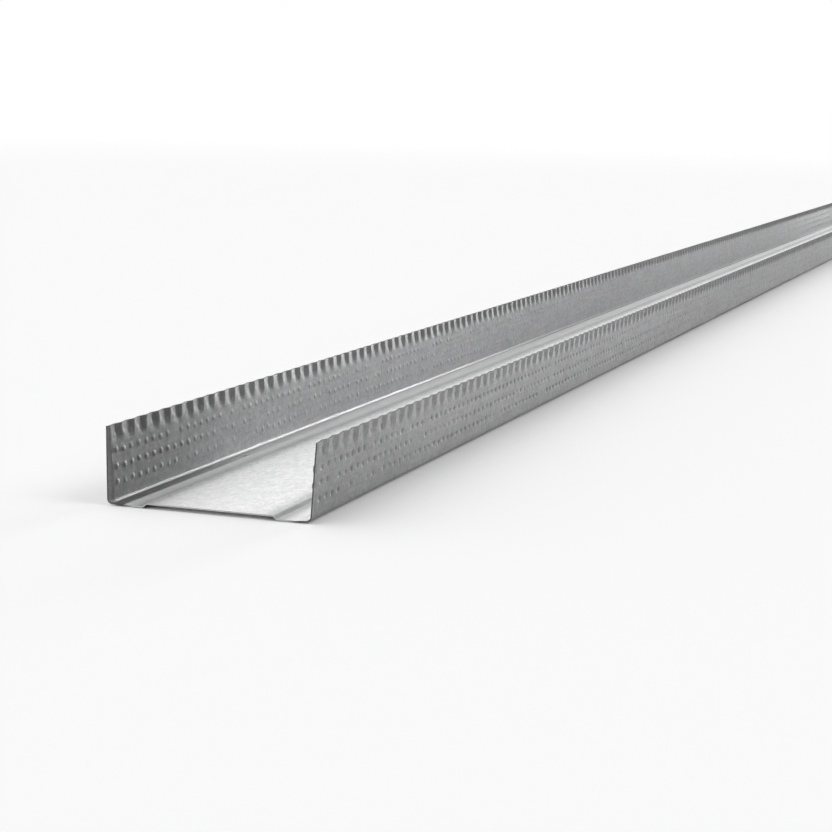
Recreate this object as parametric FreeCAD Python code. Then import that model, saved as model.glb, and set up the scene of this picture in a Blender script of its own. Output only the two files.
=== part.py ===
import FreeCAD, Part
import math
import os

from FreeCAD import Vector

# Drywall channel: one strip of galvanised sheet, roll formed to a U that takes a 63.5 mm stud.
# X runs along the channel from its near end, Y across it to the left flange, and Z up from the
# level that the web lies on. The origin is at mid length and mid width, on that level.
# Sizes are in millimetres and degrees.

length = 2440.0
sheet = 0.45

# Folded section: the web is a raised panel between two low side strips, and the margin of each
# strip rises a little to its corner
inside_width = 64.3
flange_height = 24.3
flange_lean = 3.5
corner_radius = 1.2
margin_flat = 3.2
margin_angle = 4.0
margin_radius = 3.0
side_strip = 10.4
panel_rise = 1.05
step_angle = 45.0
step_radius = 0.5

# Crimped free edges: the depth is from ridge to groove
flute_pitch = 8.8
flute_depth = 0.8
flute_height = 4.0
flute_fade = 2.0
left_first_ridge = 4.7
right_first_ridge = 1.6

# Values that follow from the sizes above
near_end = -length / 2
far_end = length / 2
half_sheet = sheet / 2
outside_width = inside_width + sheet * 2
lean = math.radians(flange_lean)
margin_turn = math.radians(margin_angle)
corner_spoke = corner_radius + half_sheet
margin_spoke = margin_radius + half_sheet
margin_drop = margin_flat * math.sin(margin_turn) + margin_spoke * (1 - math.cos(margin_turn))
corner_y = inside_width / 2 - corner_radius
corner_z = half_sheet + margin_drop + corner_spoke * math.cos(margin_turn)
ridge_shift = flute_depth / 2
edge_reach = (flange_height - corner_z + (corner_radius - ridge_shift) * math.sin(lean)) / math.cos(lean)
crimp_foot = edge_reach - flute_height
fade_foot = crimp_foot - flute_fade


def flange_point(side, x, shift, reach):
    """A flange's point: shift outward from mid sheet, reach up the flange from its corner bend."""
    out = corner_spoke + shift
    y = corner_y + out * math.cos(lean) + reach * math.sin(lean)
    z = corner_z - out * math.sin(lean) + reach * math.cos(lean)
    return Vector(x, side * y, z)


def across(angle):
    """Unit vector square to a heading in the section, on its left."""
    return Vector(0, -math.sin(angle), math.cos(angle))


def fold_section(start, heading, moves):
    """Face of the sheet's section. A move is (length,) for a flat or (turn, inside radius) for a bend."""

    def both_sides(point, angle):
        return point + across(angle) * half_sheet, point - across(angle) * half_sheet

    point, angle = start, heading
    here = first = both_sides(point, angle)
    left_side, right_side = [], []
    for move in moves:
        if len(move) == 1:
            point = point + Vector(0, math.cos(angle), math.sin(angle)) * move[0]
            there = both_sides(point, angle)
            pieces = [Part.LineSegment(*ends) for ends in zip(here, there)]
        else:
            turn, inside_radius = move
            spoke = math.copysign(inside_radius + half_sheet, turn)
            centre = point + across(angle) * spoke
            halfway = both_sides(centre - across(angle + turn / 2) * spoke, angle + turn / 2)
            angle = angle + turn
            point = centre - across(angle) * spoke
            there = both_sides(point, angle)
            pieces = [Part.Arc(*ends) for ends in zip(here, halfway, there)]
        left_side.append(pieces[0].toShape())
        right_side.append(pieces[1].toShape())
        here = there
    end_cap = Part.LineSegment(here[0], here[1]).toShape()
    start_cap = Part.LineSegment(first[1], first[0]).toShape()
    return Part.Face(Part.Wire(left_side + [end_cap] + right_side[::-1] + [start_cap]))


def section_moves():
    """Flats and bends down the right flange, across the web and up the left flange."""
    step_turn = math.radians(step_angle)
    step_spoke = step_radius + half_sheet
    step_flat = (panel_rise - 2 * step_spoke * (1 - math.cos(step_turn))) / math.sin(step_turn)
    step_run = 2 * step_spoke * math.sin(step_turn) + step_flat * math.cos(step_turn)
    margin_run = (margin_spoke - corner_spoke) * math.sin(margin_turn) + margin_flat * math.cos(margin_turn)
    strip_flat = side_strip - sheet - corner_radius - margin_run
    panel_flat = outside_width - 2 * (side_strip + step_run)
    flange_and_corner = [(fade_foot,), (math.pi / 2 - lean - margin_turn, corner_radius)]
    margin = [(margin_flat,), (margin_turn, margin_radius), (strip_flat,)]
    step = [(step_turn, step_radius), (step_flat,), (-step_turn, step_radius)]
    half = flange_and_corner + margin + step
    return half + [(panel_flat,)] + half[::-1]


def folded_channel():
    """The channel up to the foot of its crimped edges."""
    start = flange_point(-1, near_end, 0, fade_foot)
    down_the_flange = lean - math.pi / 2
    section = fold_section(start, down_the_flange, section_moves())
    return section.extrude(Vector(length, 0, 0))


def crimp_wave(distance):
    """1 on a ridge and -1 in a groove, with straight slopes between, from the distance past a ridge."""
    return 4 * abs((distance / flute_pitch) % 1.0 - 0.5) - 1


def crease_places(first_ridge):
    """Where the crimps' creases lie along the channel: both cut ends, and each ridge and groove between."""
    half_pitch = flute_pitch / 2
    first = math.floor(-first_ridge / half_pitch) + 1
    past_last = math.ceil((length - first_ridge) / half_pitch)
    creases = [near_end + first_ridge + number * half_pitch for number in range(first, past_last)]
    return [near_end] + creases + [far_end]


def facet(*corners):
    return Part.Face(Part.makePolygon(list(corners) + [corners[0]]))


def crimped_edge(side, first_ridge):
    """Fluted strip along a flange's free edge. Its sheet runs from the flat flange through a fade."""

    def sheet_line(x, face_shift):
        """One face of the sheet at a crease: at the fade's foot, at the crimp's foot and at the edge."""
        crimped = face_shift + crimp_wave(x - near_end - first_ridge) * ridge_shift
        places = ((face_shift, fade_foot), (crimped, crimp_foot), (crimped, edge_reach))
        return [flange_point(side, x, shift, reach) for shift, reach in places]

    places = crease_places(first_ridge)
    outer = [sheet_line(x, half_sheet) for x in places]
    inner = [sheet_line(x, -half_sheet) for x in places]
    facets = []
    for lines in (outer, inner):
        for (foot0, crimp0, edge0), (foot1, crimp1, edge1) in zip(lines, lines[1:]):
            facets += [facet(foot0, foot1, crimp1), facet(foot0, crimp1, crimp0)]
            facets.append(facet(crimp0, crimp1, edge1, edge0))
    for first in range(len(places) - 1):
        facets.append(facet(outer[first][2], outer[first + 1][2], inner[first + 1][2], inner[first][2]))
    for cut in (0, -1):
        facets.append(facet(*outer[cut], *inner[cut][::-1]))
    facets.append(facet(*[line[0] for line in outer], *[line[0] for line in inner[::-1]]))
    shell = Part.Shell(facets)
    shell.sewShape()
    return Part.Solid(shell)


os.makedirs("parts", exist_ok=True)
left_edge = crimped_edge(1, left_first_ridge)
right_edge = crimped_edge(-1, right_first_ridge)
drywall_channel = folded_channel().fuse([left_edge, right_edge])
drywall_channel.exportStep("parts/drywall_channel.step")
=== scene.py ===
import math

import bpy
import numpy as np
from mathutils import Matrix, Vector
from mathutils.geometry import delaunay_2d_cdt


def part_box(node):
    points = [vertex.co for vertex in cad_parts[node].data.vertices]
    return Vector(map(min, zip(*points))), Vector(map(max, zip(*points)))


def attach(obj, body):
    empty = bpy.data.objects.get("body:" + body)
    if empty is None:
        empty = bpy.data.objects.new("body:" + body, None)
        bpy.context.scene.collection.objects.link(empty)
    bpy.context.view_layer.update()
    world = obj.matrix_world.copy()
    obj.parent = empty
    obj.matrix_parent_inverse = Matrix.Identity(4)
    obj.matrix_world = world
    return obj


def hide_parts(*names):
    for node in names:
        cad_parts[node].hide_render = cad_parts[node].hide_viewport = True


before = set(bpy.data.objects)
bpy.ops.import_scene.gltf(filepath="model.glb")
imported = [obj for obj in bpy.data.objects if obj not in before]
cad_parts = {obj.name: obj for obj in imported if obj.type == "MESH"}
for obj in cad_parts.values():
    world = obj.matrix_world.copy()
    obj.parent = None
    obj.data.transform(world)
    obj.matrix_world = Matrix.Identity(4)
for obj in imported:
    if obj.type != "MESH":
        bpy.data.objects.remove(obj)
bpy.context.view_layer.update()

# Drywall channel: one strip of galvanised sheet, roll formed to a U. Its free edges are crimped,
# and both flanges carry rows of small dimples, punched in from outside.
# Sizes are in millimetres and become metres where a mesh is made. X runs along the channel, Y
# across it to the left flange and Z up. A side is 1 for the left flange and -1 for the right.
# A place on the sheet is its distance from the near end and its path, the distance round the
# section from the web's middle line, minus on the right. Reach is how far it is up a flange from
# the corner bend.
MM = 0.001
low_corner, high_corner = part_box("drywall_channel")
near_end = low_corner.x / MM
far_end = high_corner.x / MM
length = far_end - near_end
flange_height = (high_corner.z - low_corner.z) / MM

# Folded section
sheet = 0.45
half_sheet = sheet / 2
inside_width = 64.3
lean = math.radians(3.5)
corner_radius = 1.2
margin_flat = 3.2
margin_turn = math.radians(4.0)
margin_radius = 3.0
side_strip = 10.4
panel_rise = 1.05
step_turn = math.radians(45.0)
step_radius = 0.5

corner_spoke = corner_radius + half_sheet
margin_spoke = margin_radius + half_sheet
step_spoke = step_radius + half_sheet
corner_turn = math.pi / 2 - lean - margin_turn
margin_drop = margin_flat * math.sin(margin_turn) + margin_spoke * (1 - math.cos(margin_turn))
margin_run = (margin_spoke - corner_spoke) * math.sin(margin_turn) + margin_flat * math.cos(margin_turn)
strip_flat = side_strip - sheet - corner_radius - margin_run
step_flat = (panel_rise - 2 * step_spoke * (1 - math.cos(step_turn))) / math.sin(step_turn)
step_run = 2 * step_spoke * math.sin(step_turn) + step_flat * math.cos(step_turn)
panel_half = inside_width / 2 + sheet - side_strip - step_run
corner_z = half_sheet + margin_drop + corner_spoke * math.cos(margin_turn)

# Crimped free edges. The wave stays a little inside the full depth. Along the channel, each crimp
# falls from its ridge to the groove over the fall share of the pitch. A drift is an amount and the
# distance over which it changes: the ridges' in pitches, the wave's as a share, the foot's in mm.
flute_pitch = 8.8
flute_depth = 0.8
flute_height = 4.0
flute_fade = 2.0
flute_rise = 3.6
ridge_sharpness = 0.975
fall_share = {1: 3 / 8, -1: 5 / 8}
first_ridge = {1: 5.1, -1: 1.2}
wave_strength = 0.95
ridge_drift = 0.012, 26.0
wave_drift = 0.04, 17.0
foot_drift = 0.25, 9.0
edge_tip = corner_radius - flute_depth / 2
edge_reach = (flange_height - corner_z + edge_tip * math.sin(lean)) / math.cos(lean)
crimp_foot = edge_reach - flute_height
fade_foot = crimp_foot - flute_fade

# Dimples, a little longer than they are high. The other depths are shares of the dimple depth. So
# is wear, as (share, start, run) along the channel.
dimple_pitch = 5.28
dimple_half_length = 1.85
dimple_half_height = 1.35
dimple_depth = 0.5
dimple_dish = 1.7
dimple_rows = 4
first_row = 4.6
row_pitch = 4.9
first_dimple = {1: 4.2, -1: 1.3}
dimple_jitter = 0.2
mean_depth = 0.72
depth_jitter = 0.3
depth_drift = 0.4, 42.0
least_depth, fresh_depth_gain = 0.12, 0.5
missing_share, worn_missing_gain = 0.06, 0.2
edge_row_depth = 0.4
dimple_wear = {1: ((0.6, 35, 50), (0.2, 300, 200)), -1: ((0.65, 200, 500),)}
unworn_share = 0.75
unworn_from = 1200, 500
fresh_until = 30, 35

# Bent lip at the near end: its width and outward shift at the free edge, and how much more low down
lip_width, lip_width_gain = 1.1, 0.9
lip_shift = {1: 0.38, -1: 0.34}
lip_shift_gain = {1: 0.8, -1: 0.1}

# The flats and bends from the web's middle line out to a free edge, as (length, turn)
SECTION = [
    (panel_half, 0.0),
    (step_spoke * step_turn, -step_turn),
    (step_flat, 0.0),
    (step_spoke * step_turn, step_turn),
    (strip_flat, 0.0),
    (margin_spoke * margin_turn, margin_turn),
    (margin_flat, 0.0),
    (corner_spoke * corner_turn, corner_turn),
    (edge_reach, 0.0),
]
flange_start = sum(run for run, turn in SECTION[:-1])

# Where the meshes have their vertices. The flange pieces start at the joint, just above the bends.
# The lip's columns are close together at the near end, and a bend turns a little at each row. A
# crest is half the width of a rounded ridge or groove, the fade rows are shares of the flutes'
# rise, and places closer than a hair are one.
joint_reach = 2.0
lip_columns = [0.0, 0.3, 0.6, 1.0, 1.5, 2.1]
past_lip = [3.5, 6.0]
lip_row_pitch = 1.1
cut_row_pitch = 4.0
panel_rows = (0.0, 7.0, 14.0)
turn_per_row = math.radians(12)
crest = 0.45
fade_rows = (-0.06, 0.14, 0.3, 0.48, 0.7, 1.0)
lip_gap = 0.4
end_gap = 0.3
dimple_gap = 0.15
hair = 1e-6


def smooth(value):
    """0 to 1 with flat ends."""
    value = np.clip(value, 0, 1)
    return value * value * (3 - 2 * value)


def ramp(value, start, run):
    """0 up to the start, and from there a smooth rise to 1 over the run."""
    return smooth((value - start) / run)


def drift(distance, amount, period, seed):
    """Smooth random values up to the amount either way along the channel, the same on each run."""
    knots = np.random.default_rng(seed).uniform(-1, 1, int(length / period) + 4)
    place = np.clip(distance / period, 0, len(knots) - 2)
    first = place.astype(int)
    return amount * (knots[first] + (knots[first + 1] - knots[first]) * smooth(place - first))


def punched_dimples(side):
    """Distance, reach and depth of each dimple on a flange, as arrays of columns by rows. Depths vary
    in groups and from dimple to dimple, and some dimples are missing. The rows grow worn along the
    channel, and less so again toward its far end. The left flange's first dimples are fresh."""
    rng = np.random.default_rng(20 + side)
    columns = int((length - first_dimple[side] - dimple_half_length) / dimple_pitch) + 1
    shape = (columns, dimple_rows)
    distance = first_dimple[side] + dimple_pitch * np.arange(columns)[:, None]
    distance = distance + rng.uniform(-dimple_jitter, dimple_jitter, shape)
    reach = first_row + row_pitch * np.arange(dimple_rows)[None, :]
    reach = reach + rng.uniform(-dimple_jitter, dimple_jitter, shape)
    groups = [drift(distance[:, row], *depth_drift, 50 + 4 * side + row) for row in range(dimple_rows)]
    worn = sum(share * ramp(distance, start, run) for share, start, run in dimple_wear[side])
    worn = worn * (1 - unworn_share * ramp(distance, *unworn_from))
    fresh = 1 - ramp(distance, *fresh_until) if side > 0 else 0.0
    strength = mean_depth + np.stack(groups, 1) + rng.uniform(-depth_jitter, depth_jitter, shape)
    depth = dimple_depth * (1 - worn) * np.clip(strength, least_depth + fresh_depth_gain * fresh, 1.0)
    chance = (missing_share + worn_missing_gain * worn) * (1 - fresh)
    depth[rng.uniform(size=shape) < chance] = 0.0
    depth[:, -1] *= edge_row_depth
    return distance, reach, depth


DIMPLES = {side: punched_dimples(side) for side in (1, -1)}


def moved(place, ahead, run, turn):
    """Y, Z and heading after going ahead from a place in the section, along a bend or, without a
    turn, a flat."""
    y, z, heading = place
    if not turn:
        return y + ahead * math.cos(heading), z + ahead * math.sin(heading), heading + 0 * ahead
    radius = run / turn
    angle = heading + ahead / radius
    there_y = y + radius * (np.sin(angle) - math.sin(heading))
    there_z = z - radius * (np.cos(angle) - math.cos(heading))
    return there_y, there_z, angle


def section_place(path):
    """Mid sheet's Y, Z and heading at distances out from the web's middle line."""
    found = np.zeros((3, len(path)))
    start, place = 0.0, (0.0, panel_rise + half_sheet, 0.0)
    for run, turn in SECTION:
        found = np.where(path >= start, moved(place, path - start, run, turn), found)
        start, place = start + run, moved(place, run, run, turn)
    return found


def crimps(side, distance, reach):
    """Outward shift of the fluted edge: rounded ridges and grooves that fade into the flange. Their
    pitch, depth and foot drift a little along the channel, and they start shallow at the near end."""
    ridges = (distance - first_ridge[side]) / flute_pitch + drift(distance, *ridge_drift, 5 + side)
    turn = math.pi * np.interp(ridges % 1.0, (0, fall_share[side], 1), (0, 1, 2))
    wave = np.arcsin(ridge_sharpness * np.cos(turn)) / math.asin(ridge_sharpness)
    strength = (wave_strength + drift(distance, *wave_drift, 8 + side)) * ramp(distance, -0.6, 3.0)
    foot = fade_foot + drift(distance, *foot_drift, 11 + side)
    return flute_depth / 2 * strength * wave * ramp(reach, foot, flute_rise)


def dimples(side, distance, reach):
    """Inward dents, round and dished, each from the nearest place of the punch."""
    centre, row_reach, depth = DIMPLES[side]
    nearest_column = np.rint((distance - first_dimple[side]) / dimple_pitch).astype(int)
    nearest_row = np.rint((reach - first_row) / row_pitch).astype(int)
    punch = np.clip(nearest_column, 0, len(centre) - 1), np.clip(nearest_row, 0, dimple_rows - 1)
    along = (distance - centre[punch]) / dimple_half_length
    up = (reach - row_reach[punch]) / dimple_half_height
    return -depth[punch] * np.clip(1 - along**2 - up**2, 0, 1) ** dimple_dish


def bent_lip(side, distance, reach):
    """Outward shift of the near cut end, bent by the shear, most of all low on the left flange."""
    low = 1 - np.clip(reach / edge_reach, 0, 1)
    width = lip_width + lip_width_gain * low
    shift = lip_shift[side] + lip_shift_gain[side] * low
    return shift * np.clip(1 - distance / width, 0, 1) ** 2 * ramp(reach, -2.0, 2.0)


def relief(distance, path):
    """How far the sheet stands outward from the plain folded section."""
    reach = np.abs(path) - flange_start
    shift = np.zeros_like(path)
    for side in (1, -1):
        formed = (crimps(side, distance, reach) + dimples(side, distance, reach)
                  + bent_lip(side, distance, reach))
        shift = np.where(path * side > 0, formed, shift)
    return shift


def sheet_point(distance, path, out):
    """Point of the sheet, with out its offset from mid sheet to the outer face."""
    y, z, heading = section_place(np.abs(path))
    shift = out + relief(distance, path)
    y = np.where(path < 0, -1.0, 1.0) * (y + shift * np.sin(heading))
    z = z - shift * np.cos(heading)
    return np.stack([near_end + distance, y, z], -1)


def unit_normal(along, around):
    """Unit vectors square to two directions on a face."""
    normal = np.cross(along, around)
    return normal / np.linalg.norm(normal, axis=1, keepdims=True)


def inward_normal(distance, path, out):
    """Unit normals on the inner side, from the slopes of the surface."""
    tiny = 0.02
    along = sheet_point(distance + tiny, path, out) - sheet_point(distance - tiny, path, out)
    around = sheet_point(distance, path + tiny, out) - sheet_point(distance, path - tiny, out)
    return unit_normal(along, around)


def flat_triangles(places):
    """The places with doubles merged, and the triangles between them on the flat sheet."""
    unrolled = delaunay_2d_cdt([Vector(place) for place in places], [], [], 0, hair, True)
    triangles, sources = unrolled[2:4]
    places = places[[doubles[0] for doubles in sources]]
    triangles = np.array([list(triangle) for triangle in triangles])
    corners = places[triangles]
    first, second = corners[:, 1] - corners[:, 0], corners[:, 2] - corners[:, 0]
    doubled_area = first[:, 0] * second[:, 1] - first[:, 1] * second[:, 0]
    return places, triangles[np.abs(doubled_area) > hair]


def rim_sides(triangles, count):
    """Start and end vertex of each triangle side that no other triangle shares."""
    sides = np.concatenate([triangles[:, [0, 1]], triangles[:, [1, 2]], triangles[:, [2, 0]]])
    keys = sides[:, 0] * count + sides[:, 1]
    back_keys = sides[:, 1] * count + sides[:, 0]
    rim = sides[~np.isin(keys, back_keys)]
    return rim[:, 0], rim[:, 1]


def formed_sheet(name, places, materials):
    """A closed piece of the sheet over these (distance, path) places, smooth on both faces. The
    materials are the inner face's, the outer face's and the cut edges'."""
    places, triangles = flat_triangles(np.array(places))
    distance, path = places[:, 0], places[:, 1]
    count = len(places)
    inner, outer = sheet_point(distance, path, -half_sheet), sheet_point(distance, path, half_sheet)
    inner_normal = inward_normal(distance, path, -half_sheet)
    outer_normal = -inward_normal(distance, path, half_sheet)
    points = np.concatenate([inner, outer])
    start, end = rim_sides(triangles, count)
    walls = np.stack([end, start, start + count, end + count], 1)
    faces = triangles.tolist() + (triangles[:, ::-1] + count).tolist() + walls.tolist()
    diagonals = points[walls[:, 2:]] - points[walls[:, :2]]
    wall_normal = unit_normal(diagonals[:, 0], diagonals[:, 1])
    corner_normals = np.concatenate([
        inner_normal[triangles].reshape(-1, 3),
        outer_normal[triangles[:, ::-1]].reshape(-1, 3),
        np.repeat(wall_normal, 4, axis=0),
    ])
    mesh = bpy.data.meshes.new(name)
    mesh.from_pydata(points * MM, [], faces)
    for material in materials:
        mesh.materials.append(material)
    finish = np.repeat([0, 1, 2], [len(triangles), len(triangles), len(walls)])
    mesh.polygons.foreach_set("material_index", finish.astype(np.int32))
    mesh.shade_smooth()
    mesh.normals_split_custom_set(corner_normals.tolist())
    mesh.update()
    piece = bpy.data.objects.new(name, mesh)
    bpy.context.scene.collection.objects.link(piece)
    return piece


def joint_columns():
    """Distances of the shared vertices where a flange piece meets the web piece."""
    spacing = 2 * dimple_pitch
    evenly = np.arange(spacing, length - spacing / 2, spacing)
    return [*lip_columns, *past_lip, *evenly, length]


def crimp_places(side):
    """(distance, reach) places over the crimps: columns on each ridge, groove and slope."""
    groove = fall_share[side] * flute_pitch
    up_slope = (groove + flute_pitch) / 2
    offsets = (0, crest, groove / 2, groove - crest, groove, groove + crest, up_slope, flute_pitch - crest)
    ridges = first_ridge[side] + flute_pitch * np.arange(-1, int(length / flute_pitch) + 1)
    columns = np.sort(np.add.outer(ridges, offsets).ravel())
    columns = columns[(columns > lip_columns[-1] + lip_gap) & (columns < length - end_gap)]
    rows = [fade_foot + flute_rise * part for part in fade_rows] + [edge_reach]
    return np.array([(x, reach) for reach in rows for x in [*columns, length]])


def dimple_rings(centre, row_reach):
    """Each dimple's middle, a ring of eight places half way out and one round its rim."""
    rings = [np.stack([centre, row_reach], 1)]
    eighth = math.pi / 4
    for part, twist in ((1.0, 0.0), (0.5, eighth / 2)):
        for angle in np.arange(8) * eighth + twist:
            x = np.clip(centre + part * dimple_half_length * math.cos(angle), 0, length)
            rings.append(np.stack([x, row_reach + part * dimple_half_height * math.sin(angle)], 1))
    return rings


def flange_places(side):
    """Places over a flange: its crimps, clear of the dimples, the dimples' rings, the bent lip, the
    far end and the joint."""
    centre, row_reach, depth = DIMPLES[side]
    punched = depth > 0
    centre, row_reach = centre[punched], row_reach[punched]
    order = np.argsort(centre)
    centre, row_reach = centre[order], row_reach[order]
    crimped = crimp_places(side)
    clearance = dimple_half_height + dimple_gap
    plain = np.ones(len(crimped), bool)
    for index, (x, reach) in enumerate(crimped):
        first_close, past_close = np.searchsorted(centre, (x - clearance, x + clearance))
        close = slice(first_close, past_close)
        gap = np.hypot(centre[close] - x, row_reach[close] - reach)
        plain[index] = reach == edge_reach or not np.any(gap < clearance)
    lip_rows = [*np.arange(joint_reach + 0.9, edge_reach - 0.5, lip_row_pitch), edge_reach]
    lip = [(x, reach) for x in lip_columns for reach in lip_rows]
    cut_rows = np.arange(joint_reach + 2.0, fade_foot - 0.6, cut_row_pitch)
    cut_end = [(length, reach) for reach in cut_rows]
    joint = [(x, joint_reach) for x in joint_columns()]
    places = np.concatenate([crimped[plain], *dimple_rings(centre, row_reach), lip, cut_end, joint])
    return np.stack([places[:, 0], side * (flange_start + places[:, 1])], 1)


def web_places():
    """Places over the web and both corners: a grid with rows close together in the bends."""
    rows = {*panel_rows, flange_start + joint_reach}
    start = 0.0
    for run, turn in SECTION[:-1]:
        parts = max(1, math.ceil(abs(turn) / turn_per_row))
        rows |= {start + run * part / parts for part in range(1, parts + 1)}
        start += run
    signed = sorted({side * row for side in (1, -1) for row in rows})
    return [(x, row) for row in signed for x in joint_columns()]


# Materials

# Light and dull shades of the zinc coat: on the web, on and beside the steps and on the bends, and
# inside and outside on the flanges. They are painted light and shade: bright on the web, darker on the
# steps, bends and flanges, and different inside and outside. One dark painted shade lies over them
# at the near end.
web_shades = (0.95, 0.953, 0.957, 1), (0.77, 0.773, 0.777, 1)
step_and_bend_shade_tones = (0.36, 0.363, 0.367, 1), (0.27, 0.273, 0.277, 1)
inside_shades = (0.51, 0.513, 0.517, 1), (0.34, 0.342, 0.345, 1)
outside_shades = (0.41, 0.413, 0.417, 1), (0.27, 0.272, 0.275, 1)
end_shade_tone = (0.04, 0.04, 0.041, 1)

# Dark and light shades of the cut steel, painted light across the web and painted shade on the
# flanges, and how far out the cut turns from the one to the other
bright_cut_shades = (0.42, 0.423, 0.427, 1), (0.62, 0.623, 0.627, 1)
shaded_cut_shades = (0.07, 0.07, 0.072, 1), (0.16, 0.16, 0.163, 1)
cut_shade_turn = 25.0, 29.0

# Distances from the near end over which a finish or a painted shade changes
end_shade_ends = 25.0, 125.0
burnish_ends = 60.0, 260.0
bends_shaded_and_dull = 200.0, 600.0
flanges_dull = 150.0, 700.0
flanges_clear = 1200.0, 1700.0


def socket(group, name, kind, in_out, value=None):
    """A named input or output of a node group."""
    made = group.interface.new_socket(name=name, in_out=in_out, socket_type=kind)
    if value is not None:
        made.default_value = value


class Board:
    """Short ways to place and wire nodes in one node tree."""

    def __init__(self, tree):
        self.tree = tree

    def node(self, kind, **settings):
        made = self.tree.nodes.new(kind)
        for name, value in settings.items():
            setattr(made, name, value)
        return made

    def wire(self, source, target):
        self.tree.links.new(source, target)

    def feed(self, target, value):
        """Wire a socket's value to the target, or set it to a plain value."""
        if isinstance(value, bpy.types.NodeSocket):
            self.wire(value, target)
        else:
            target.default_value = value

    def maths(self, operation, first, second=0.0, clamp=False):
        made = self.node("ShaderNodeMath", operation=operation, use_clamp=clamp)
        self.feed(made.inputs[0], first)
        self.feed(made.inputs[1], second)
        return made.outputs[0]

    def swing(self, value, share):
        """A value's swing about a half, times the share."""
        return self.maths("MULTIPLY", self.maths("SUBTRACT", value, 0.5), share)

    def stretch(self, place, scale):
        made = self.node("ShaderNodeMapping")
        self.wire(place, made.inputs["Vector"])
        made.inputs["Scale"].default_value = scale
        return made.outputs[0]

    def noise(self, place, scale, detail=3.0, roughness=0.6, distortion=0.0):
        made = self.node("ShaderNodeTexNoise")
        self.wire(place, made.inputs["Vector"])
        self.feed(made.inputs["Scale"], scale)
        self.feed(made.inputs["Detail"], detail)
        self.feed(made.inputs["Roughness"], roughness)
        self.feed(made.inputs["Distortion"], distortion)
        return made.outputs["Fac"]

    def span(self, value, low, high, to_low=0.0, to_high=1.0):
        """Smooth change from one value to the other while the given value goes from low to high."""
        made = self.node("ShaderNodeMapRange", interpolation_type="SMOOTHSTEP")
        self.feed(made.inputs["Value"], value)
        self.feed(made.inputs["From Min"], low)
        self.feed(made.inputs["From Max"], high)
        self.feed(made.inputs["To Min"], to_low)
        self.feed(made.inputs["To Max"], to_high)
        return made.outputs[0]

    def pick(self, mask, elsewhere, there):
        """One value where the mask is 0 and the other where it is 1."""
        return self.span(mask, 0, 1, elsewhere, there)

    def blend(self, amount, first, second):
        """The first colour where the amount is 0 and the second where it is 1."""
        made = self.node("ShaderNodeMix", data_type="RGBA")
        self.feed(made.inputs[0], amount)
        self.feed(made.inputs[6], first)
        self.feed(made.inputs[7], second)
        return made.outputs[2]


def place_group():
    """Object place in millimetres, and how far it is along from the near end, across from the web's
    middle line and to the left of it."""
    group = bpy.data.node_groups.new("channel place", "ShaderNodeTree")
    socket(group, "Place", "NodeSocketVector", "OUTPUT")
    for name in ("Across", "Along", "Left"):
        socket(group, name, "NodeSocketFloat", "OUTPUT")
    board = Board(group)
    coordinates = board.node("ShaderNodeTexCoord")
    millimetres = board.stretch(coordinates.outputs["Object"], (1 / MM, 1 / MM, 1 / MM))
    parts = board.node("ShaderNodeSeparateXYZ")
    board.wire(millimetres, parts.inputs[0])
    result = board.node("NodeGroupOutput")
    board.wire(millimetres, result.inputs["Place"])
    board.wire(board.maths("ABSOLUTE", parts.outputs["Y"]), result.inputs["Across"])
    board.wire(board.maths("SUBTRACT", parts.outputs["X"], near_end), result.inputs["Along"])
    board.wire(parts.outputs["Y"], result.inputs["Left"])
    return group


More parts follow.
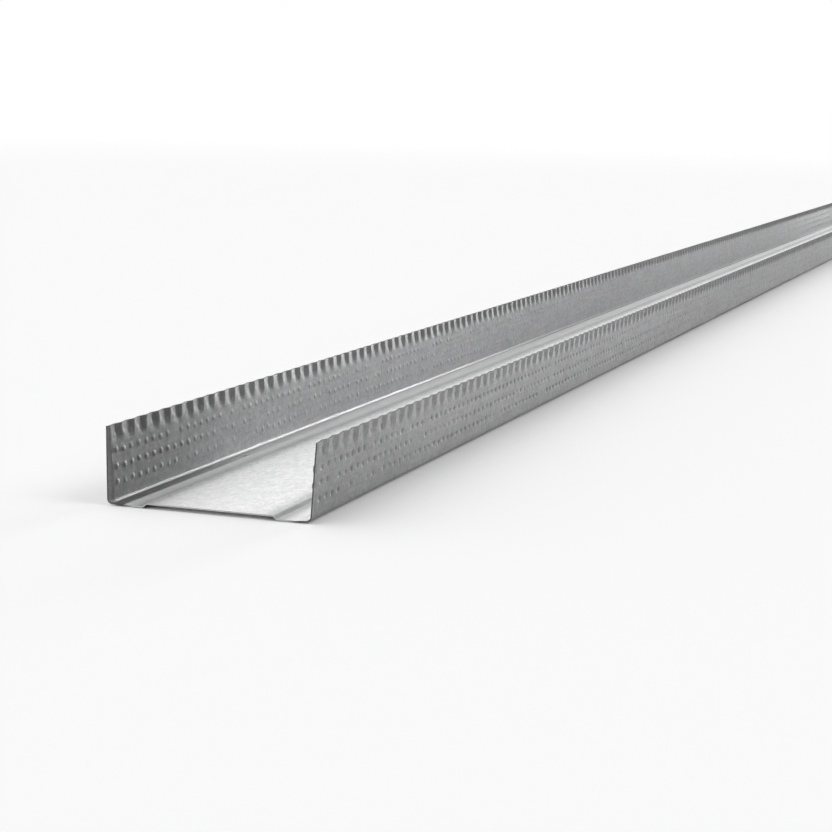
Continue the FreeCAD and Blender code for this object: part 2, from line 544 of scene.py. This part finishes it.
def zinc_group():
    """Zinc coat: fine spangle, cloudy patches and streaks that the forming rolls draw along the sheet.
    Together they shade it between dull and light, and the light patches are a little smoother."""
    group = bpy.data.node_groups.new("zinc coat", "ShaderNodeTree")
    socket(group, "Place", "NodeSocketVector", "INPUT")
    for name, shade in (("Light Zinc", web_shades[0]), ("Dull Zinc", web_shades[1])):
        socket(group, name, "NodeSocketColor", "INPUT", shade)
    for name, value in (("Spangle Size", 1.2), ("Spangle Length", 1.0), ("Spangle", 0.4),
                        ("Clouds", 0.4), ("Roll Streaks", 0.3), ("Mean Roughness", 0.4)):
        socket(group, name, "NodeSocketFloat", "INPUT", value)
    socket(group, "Color", "NodeSocketColor", "OUTPUT")
    for name in ("Roughness", "Height"):
        socket(group, name, "NodeSocketFloat", "OUTPUT")
    board = Board(group)
    given = board.node("NodeGroupInput").outputs
    fineness = board.maths("DIVIDE", 1.0, given["Spangle Size"])
    drawn_out = board.node("ShaderNodeCombineXYZ")
    board.wire(board.maths("DIVIDE", 1.0, given["Spangle Length"]), drawn_out.inputs["X"])
    drawn_out.inputs["Y"].default_value = 1.0
    drawn_out.inputs["Z"].default_value = 1.0
    crystal_place = board.node("ShaderNodeVectorMath", operation="MULTIPLY")
    board.wire(given["Place"], crystal_place.inputs[0])
    board.wire(drawn_out.outputs[0], crystal_place.inputs[1])
    grains = board.node("ShaderNodeTexVoronoi", feature="SMOOTH_F1")
    board.wire(crystal_place.outputs[0], grains.inputs["Vector"])
    board.wire(fineness, grains.inputs["Scale"])
    grain_shade = board.node("ShaderNodeSeparateColor")
    board.wire(grains.outputs["Color"], grain_shade.inputs[0])
    speckle = board.noise(crystal_place.outputs[0], board.maths("MULTIPLY", fineness, 1.7))
    speckle = board.maths("SUBTRACT", speckle, 0.5)
    spangle = board.maths("ADD", board.swing(grain_shade.outputs[0], 0.5), speckle)
    clouds = board.noise(given["Place"], 0.09, roughness=0.55, distortion=0.6)
    streaks = board.noise(board.stretch(given["Place"], (0.02, 1.0, 1.0)), 1.6)
    spangled = board.maths("MULTIPLY", spangle, given["Spangle"])
    cloudy = board.swing(clouds, given["Clouds"])
    drawn = board.swing(streaks, given["Roll Streaks"])
    shade = board.maths("ADD", board.maths("ADD", spangled, cloudy), drawn)
    shade = board.maths("ADD", shade, 0.5, clamp=True)
    dullness = board.maths("MULTIPLY", board.maths("SUBTRACT", 0.5, shade), 0.4)
    dullness = board.maths("ADD", dullness, 1.0)
    roughness = board.maths("MULTIPLY", dullness, given["Mean Roughness"], clamp=True)
    spangle_height = board.maths("MULTIPLY", spangle, 0.012)
    streak_height = board.maths("MULTIPLY", drawn, 0.01)
    result = board.node("NodeGroupOutput")
    board.wire(board.blend(shade, given["Dull Zinc"], given["Light Zinc"]), result.inputs["Color"])
    board.wire(roughness, result.inputs["Roughness"])
    board.wire(board.maths("ADD", spangle_height, streak_height), result.inputs["Height"])
    return group


PLACE = place_group()
ZINC = zinc_group()


def placed_group(board, group, **values):
    """A group's outputs, with its inputs given by name, an underscore for each space."""
    made = board.node("ShaderNodeGroup", node_tree=group)
    for name, value in values.items():
        board.feed(made.inputs[name.replace("_", " ")], value)
    return made.outputs


def metal(name, viewport_color):
    """A metal material, its board and shader, and the channel's place."""
    material = bpy.data.materials.new(name)
    material.use_nodes = True
    material.diffuse_color = viewport_color
    material.node_tree.nodes.clear()
    board = Board(material.node_tree)
    shader = board.node("ShaderNodeBsdfPrincipled")
    shader.inputs["Metallic"].default_value = 1.0
    result = board.node("ShaderNodeOutputMaterial")
    board.wire(shader.outputs[0], result.inputs["Surface"])
    return material, board, shader, placed_group(board, PLACE)


def bumped(board, shader, height):
    """Height in millimetres, as a bump on the shader's normal."""
    bump = board.node("ShaderNodeBump")
    bump.inputs["Distance"].default_value = MM
    bump.inputs["Strength"].default_value = 1.0
    board.wire(height, bump.inputs["Height"])
    board.wire(bump.outputs[0], shader.inputs["Normal"])


def galvanised_sheet(name, flange_shades, flange_roughness, near_end_shade):
    """Zinc coat: mottled on the web, dulled by the dimpling rolls on the flanges, and burnished by the
    corner rolls on the bends and the margins beside them, most toward the near end. Its colour is
    painted light and shade: bright on the web, and darker on the flanges, on and beside the steps, and
    on the bends, where it deepens farther along the channel. Painted shade darkens the near end, most
    in its left corner."""
    material, board, shader, at = metal(name, (0.55, 0.56, 0.57, 1))
    across, along = at["Across"], at["Along"]

    # Each mask is 0 nearer to the web's middle line than its part, and 1 from there outward
    step_end = panel_half + step_run
    bend_start = inside_width / 2 - corner_radius
    margin_start = bend_start - margin_run
    on_step = board.span(across, panel_half - 0.1, panel_half + 0.3)
    on_strip = board.span(across, step_end - 0.3, step_end + 0.2)
    on_margin = board.span(across, margin_start + 0.1, margin_start + 0.9)
    on_bend = board.span(across, bend_start - 0.2, bend_start + 0.3)
    on_fold = board.span(across, bend_start + 0.4, bend_start + 0.8)
    on_flange = board.span(across, bend_start + 0.5, inside_width / 2 + 0.2)

    # Painted shade: a darker colour on the step, beside it on the panel's edge and on the strip, and on the
    # bends, where it deepens farther along the channel
    shade_width = 5.0
    above_step = board.maths("SUBTRACT", board.span(across, panel_half - shade_width, panel_half), on_strip)
    below_step = board.span(across, step_end, step_end + shade_width, 0.7, 0.0)
    beside_step = board.maths("MAXIMUM", board.maths("MULTIPLY", above_step, 0.5),
                              board.maths("MULTIPLY", below_step, on_strip))
    bend_shade = board.maths("MULTIPLY", on_bend, board.span(along, *bends_shaded_and_dull, 0.45, 0.85))
    step_and_bend_shade = board.maths("MAXIMUM", board.maths("SUBTRACT", on_step, on_strip), beside_step)
    step_and_bend_shade = board.maths("MAXIMUM", step_and_bend_shade, bend_shade)

    # Painted shade at the near end: over the left margin and the flanges, fading out along the channel
    left_margin = board.maths("MULTIPLY", board.maths("SUBTRACT", on_margin, on_fold),
                              board.span(at["Left"], 0.0, 10.0, 0.0, 0.7))
    painted_dark = board.maths("MULTIPLY", board.pick(on_flange, left_margin, near_end_shade),
                            board.span(along, *end_shade_ends, 1.0, 0.0))

    web_roughness = board.pick(on_strip, board.pick(on_step, 0.48, 0.3), 0.54)
    margin_roughness = board.span(along, *burnish_ends, 0.25, 0.5)
    bend_roughness = board.span(along, *bends_shaded_and_dull, 0.36, 0.85)
    rolled_roughness = board.pick(on_bend, margin_roughness, bend_roughness)
    # The web's bright shades are painted light; the step and bend shades are painted shade
    web_zinc = placed_group(
        board, ZINC, Place=at["Place"],
        Light_Zinc=board.blend(step_and_bend_shade, web_shades[0], step_and_bend_shade_tones[0]),
        Dull_Zinc=board.blend(step_and_bend_shade, web_shades[1], step_and_bend_shade_tones[1]),
        Spangle_Size=0.8, Spangle_Length=2.2,
        Spangle=board.pick(on_margin, board.pick(on_step, 2.2, 0.4), 0.08),
        Clouds=board.pick(on_margin, 1.0, 0.1),
        Roll_Streaks=board.pick(on_margin, 0.3, 0.1),
        Mean_Roughness=board.pick(on_margin, web_roughness, rolled_roughness))

    dulled_roughness = board.span(along, *flanges_dull, flange_roughness, 0.72)
    # The flanges' shades are painted darker than the web's, as shade
    flange_zinc = placed_group(
        board, ZINC, Place=at["Place"],
        Light_Zinc=flange_shades[0], Dull_Zinc=flange_shades[1],
        Spangle_Size=1.2, Spangle_Length=1.0, Spangle=0.8, Clouds=0.4, Roll_Streaks=0.5,
        Mean_Roughness=board.span(along, *flanges_clear, dulled_roughness, flange_roughness))

    color = board.blend(on_flange, web_zinc["Color"], flange_zinc["Color"])
    roughness = board.pick(on_flange, web_zinc["Roughness"], flange_zinc["Roughness"])
    web_height = board.maths("MULTIPLY", web_zinc["Height"], board.pick(on_margin, 1.0, 0.0))
    board.wire(board.blend(painted_dark, color, end_shade_tone), shader.inputs["Base Color"])
    board.wire(roughness, shader.inputs["Roughness"])
    bumped(board, shader, board.pick(on_flange, web_height, flange_zinc["Height"]))
    return material


def sheared_edge():
    """Cut steel at the strip's edges and ends, with fine shear marks across the sheet. Its colour is
    painted light across the web and painted dark, as shade, on the flanges."""
    material, board, shader, at = metal("sheared edge", (0.3, 0.3, 0.31, 1))
    marks = board.noise(board.stretch(at["Place"], (3.0, 3.0, 3.0)), 1.0)
    marked = board.span(marks, 0.35, 0.65)
    # The web's cut is painted light and the flanges' cut edges painted dark, as shade
    bright = board.blend(marked, *bright_cut_shades)
    painted_dark = board.blend(marked, *shaded_cut_shades)
    color = board.blend(board.span(at["Across"], *cut_shade_turn), bright, painted_dark)
    board.wire(color, shader.inputs["Base Color"])
    board.wire(board.span(marks, 0.3, 0.7, 0.5, 0.65), shader.inputs["Roughness"])
    bumped(board, shader, board.maths("MULTIPLY", marks, 0.02))
    return material


# The inner and outer faces differ in roughness, and in painted shade: the flanges' shades and how dark the
# near end is painted
finishes = (
    galvanised_sheet("zinc coat inside", inside_shades, flange_roughness=0.58, near_end_shade=0.4),
    galvanised_sheet("zinc coat outside", outside_shades, flange_roughness=0.5, near_end_shade=0.08),
    sheared_edge(),
)

left_flange = formed_sheet("left_flange", flange_places(1), finishes)
right_flange = formed_sheet("right_flange", flange_places(-1), finishes)
web = formed_sheet("web_and_corners", web_places(), finishes)
for piece in (left_flange, right_flange, web):
    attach(piece, "root")
    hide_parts("drywall_channel")


# Floor, light and camera, in metres

def pale_floor_paint():
    """Matt white. Well past the channel, what the camera or a reflection sees of it is plain white."""
    material = bpy.data.materials.new("pale floor")
    material.use_nodes = True
    board = Board(material.node_tree)
    paint = material.node_tree.nodes["Principled BSDF"]
    paint.inputs["Base Color"].default_value = (0.96, 0.96, 0.96, 1)
    paint.inputs["Roughness"].default_value = 0.9
    paint.inputs["Specular IOR Level"].default_value = 0.0
    plain_white = board.node("ShaderNodeEmission")
    away = board.node("ShaderNodeVectorMath", operation="LENGTH")
    board.wire(board.node("ShaderNodeTexCoord").outputs["Object"], away.inputs[0])
    far_off = board.span(away.outputs["Value"], 1.5, 4.0)
    rays = board.node("ShaderNodeLightPath")
    seen = board.maths("ADD", rays.outputs["Is Camera Ray"], rays.outputs["Is Glossy Ray"])
    seen = board.maths("ADD", seen, rays.outputs["Is Transmission Ray"], clamp=True)
    mixed = board.node("ShaderNodeMixShader")
    board.wire(board.maths("MULTIPLY", far_off, seen), mixed.inputs[0])
    board.wire(paint.outputs[0], mixed.inputs[1])
    board.wire(plain_white.outputs[0], mixed.inputs[2])
    board.wire(mixed.outputs[0], material.node_tree.nodes["Material Output"].inputs["Surface"])
    return material


def pale_floor():
    """A wide pale floor that keeps the channel's shadow, a hair below it."""
    half_width = 40.0
    gap_below = 0.0002
    corners = [(-half_width, -half_width, 0), (half_width, -half_width, 0),
               (half_width, half_width, 0), (-half_width, half_width, 0)]
    mesh = bpy.data.meshes.new("floor")
    mesh.from_pydata(corners, [], [(0, 1, 2, 3)])
    mesh.materials.append(pale_floor_paint())
    floor = bpy.data.objects.new("floor", mesh)
    floor.location.z = low_corner.z - gap_below
    bpy.context.scene.collection.objects.link(floor)


def pale_world():
    """A studio whose walls are pale to the left and past both ends, and darker on the right."""
    world = bpy.data.worlds.new("pale studio")
    bpy.context.scene.world = world
    world.use_nodes = True
    board = Board(world.node_tree)
    background = world.node_tree.nodes["Background"]
    background.inputs["Color"].default_value = (1, 1, 1, 1)
    toward_pale_wall = board.node("ShaderNodeVectorMath", operation="DOT_PRODUCT")
    board.wire(board.node("ShaderNodeTexCoord").outputs["Generated"], toward_pale_wall.inputs[0])
    toward_pale_wall.inputs[1].default_value = Vector((0.0, 0.97, -0.25))
    strength = board.span(toward_pale_wall.outputs["Value"], -0.5, -0.18, 0.1, 1.0)
    board.wire(strength, background.inputs["Strength"])


def soft_sun(name, toward_light, spread, level):
    """A wide soft light from one direction; level is what it gives a white card that faces it."""
    light = bpy.data.lights.new(name, "SUN")
    light.angle = math.radians(spread)
    light.energy = level * math.pi
    lamp = bpy.data.objects.new(name, light)
    lamp.rotation_euler = Vector(toward_light).to_track_quat("Z", "Y").to_euler()
    bpy.context.scene.collection.objects.link(lamp)


def photo_camera():
    """Camera at the photograph's place and angle, from the long edges and the near end."""
    photo_width = 832
    focal_pixels = 2101.0
    yaw, pitch, roll = math.radians(18.086), math.radians(-8.672), math.radians(1.577)
    place = Vector((near_end - 568.7, -250.2, 125.8)) * MM
    ahead = Vector((math.cos(pitch) * math.cos(yaw), math.cos(pitch) * math.sin(yaw), math.sin(pitch)))
    level_right = Vector((math.sin(yaw), -math.cos(yaw), 0))
    level_up = level_right.cross(ahead)
    right = math.cos(roll) * level_right + math.sin(roll) * level_up
    up = math.cos(roll) * level_up - math.sin(roll) * level_right
    camera = bpy.data.cameras.new("camera")
    camera.sensor_width = 36.0
    camera.lens = camera.sensor_width * focal_pixels / photo_width
    camera.clip_start, camera.clip_end = 0.01, 200.0
    holder = bpy.data.objects.new("camera", camera)
    holder.matrix_world = Matrix((right, up, -ahead)).transposed().to_4x4()
    holder.location = place
    bpy.context.scene.collection.objects.link(holder)
    bpy.context.scene.camera = holder


pale_floor()
pale_world()
soft_sun("top light", (0.1, 0.0, 1.0), 120, 0.16)
soft_sun("right light", (0.0, -0.7, 0.72), 40, 0.22)
soft_sun("end light", (0.98, -0.14, 0.09), 16, 0.43)
photo_camera()
bpy.context.scene.view_settings.view_transform = "Standard"
